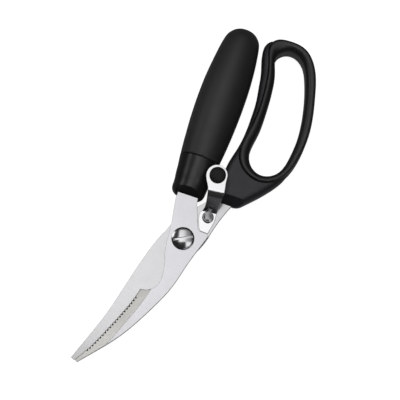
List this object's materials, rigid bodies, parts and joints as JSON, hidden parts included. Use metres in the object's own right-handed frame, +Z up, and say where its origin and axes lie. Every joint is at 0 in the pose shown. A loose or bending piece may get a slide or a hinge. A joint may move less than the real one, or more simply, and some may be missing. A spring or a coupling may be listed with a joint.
{
  "type": "poultry shears",
  "caption": "Spring-loaded poultry shears: serrated front blade, plain rear blade, slotted pivot screw, round soft grip, loop handle and a swinging hold-shut latch.",
  "frame": {"origin": "centre of the bounding box's bottom face, with the shears lying flat and closed", "axes": "+Z up, square to the blades; +Y along the round grip, away from the blades; +X towards the loop handle"},
  "size_m": [0.1006, 0.2527, 0.0294],
  "materials": {
    "serrated_blade": "satin",
    "plain_blade": "satin",
    "pivot_screw": "polished",
    "pivot_nut": "satin",
    "pivot_lock_washer": "satin",
    "opening_spring": "satin",
    "stop_pin": "satin",
    "grip_core": "semi-gloss",
    "grip_sleeve": "matte",
    "loop_frame": "matte",
    "loop_rim": "satin",
    "latch_lever": "polished",
    "latch_screw": "polished",
    "latch_washer": "satin",
    "latch_button": "matte"
  },
  "bodies": {
    "loop_side": {"plain_blade": "plain_blade", "loop_frame": "loop_frame", "loop_rim": "loop_rim", "pivot_screw": "pivot_screw", "pivot_nut": "pivot_nut", "pivot_lock_washer": "pivot_lock_washer", "opening_spring": "opening_spring", "stop_pin": "stop_pin", "latch_screw": "latch_screw", "latch_washer": "latch_washer"},
    "grip_side": {"serrated_blade": "serrated_blade", "grip_core": "grip_core", "grip_sleeve": "grip_sleeve"},
    "latch": {"latch_lever": "latch_lever", "latch_button": "latch_button"}
  },
  "joints": [
    {"name": "blade_pivot", "type": "hinge", "parent": "loop_side", "child": "grip_side", "pos_m": [-0.00726, -0.02805, 0.01196], "axis": [0, 0, 1], "range_deg": [0, 35], "deforming": ["opening_spring"]},
    {"name": "latch_swing", "type": "hinge", "parent": "loop_side", "child": "latch", "pos_m": [0.00364, -0.00885, 0.01266], "axis": [0, 0, 1], "range_deg": [0, 32]}
  ]
}
